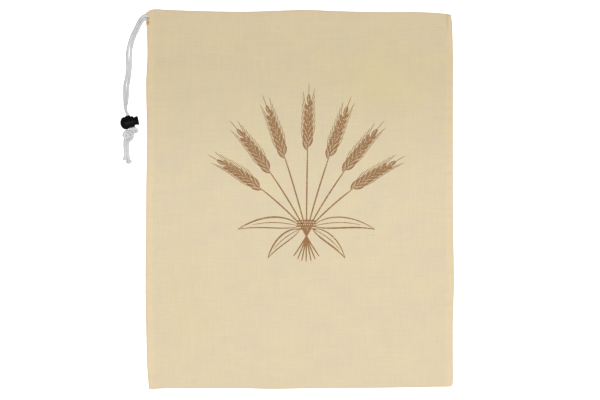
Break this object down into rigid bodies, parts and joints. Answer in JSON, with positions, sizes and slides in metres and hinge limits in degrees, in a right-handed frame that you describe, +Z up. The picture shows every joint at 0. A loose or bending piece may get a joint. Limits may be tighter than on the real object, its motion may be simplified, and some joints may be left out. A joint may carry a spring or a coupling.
{
  "type": "bread bag",
  "caption": "Calico drawstring bread bag lying on its back, mouth a little open, with a braided cord in the casing, a black spring cord lock and a knot.",
  "frame": {"origin": "middle of the bag cloth's box at the surface on which the back panel lies; the free cord, its lock and its knot don't count", "axes": "+X to the right across the bag, +Y along its length from the bottom fold to the mouth, +Z up out of the front panel"},
  "size_m": [0.3972, 0.4521, 0.0172],
  "materials": {
    "calico": "matte plain weave",
    "drawcord": "soft braid",
    "lock_plastic": "satin black"
  },
  "bodies": {
    "bag": {"bag_cloth": "calico", "cord_in_casing": "drawcord", "cord_front_strand": "drawcord", "cord_back_strand": "drawcord", "cord_knot": "drawcord", "cord_left_tail": "drawcord", "cord_right_tail": "drawcord", "lock_barrel": "lock_plastic"},
    "button": {"lock_button": "lock_plastic"}
  },
  "joints": [
    {"name": "button_press", "type": "slide", "parent": "bag", "child": "button", "axis": [-0.9763, -0.2164, 0], "range_m": [0, 0.003], "stiffness_N_per_m": 700, "springref_m": -0.002}
  ]
}
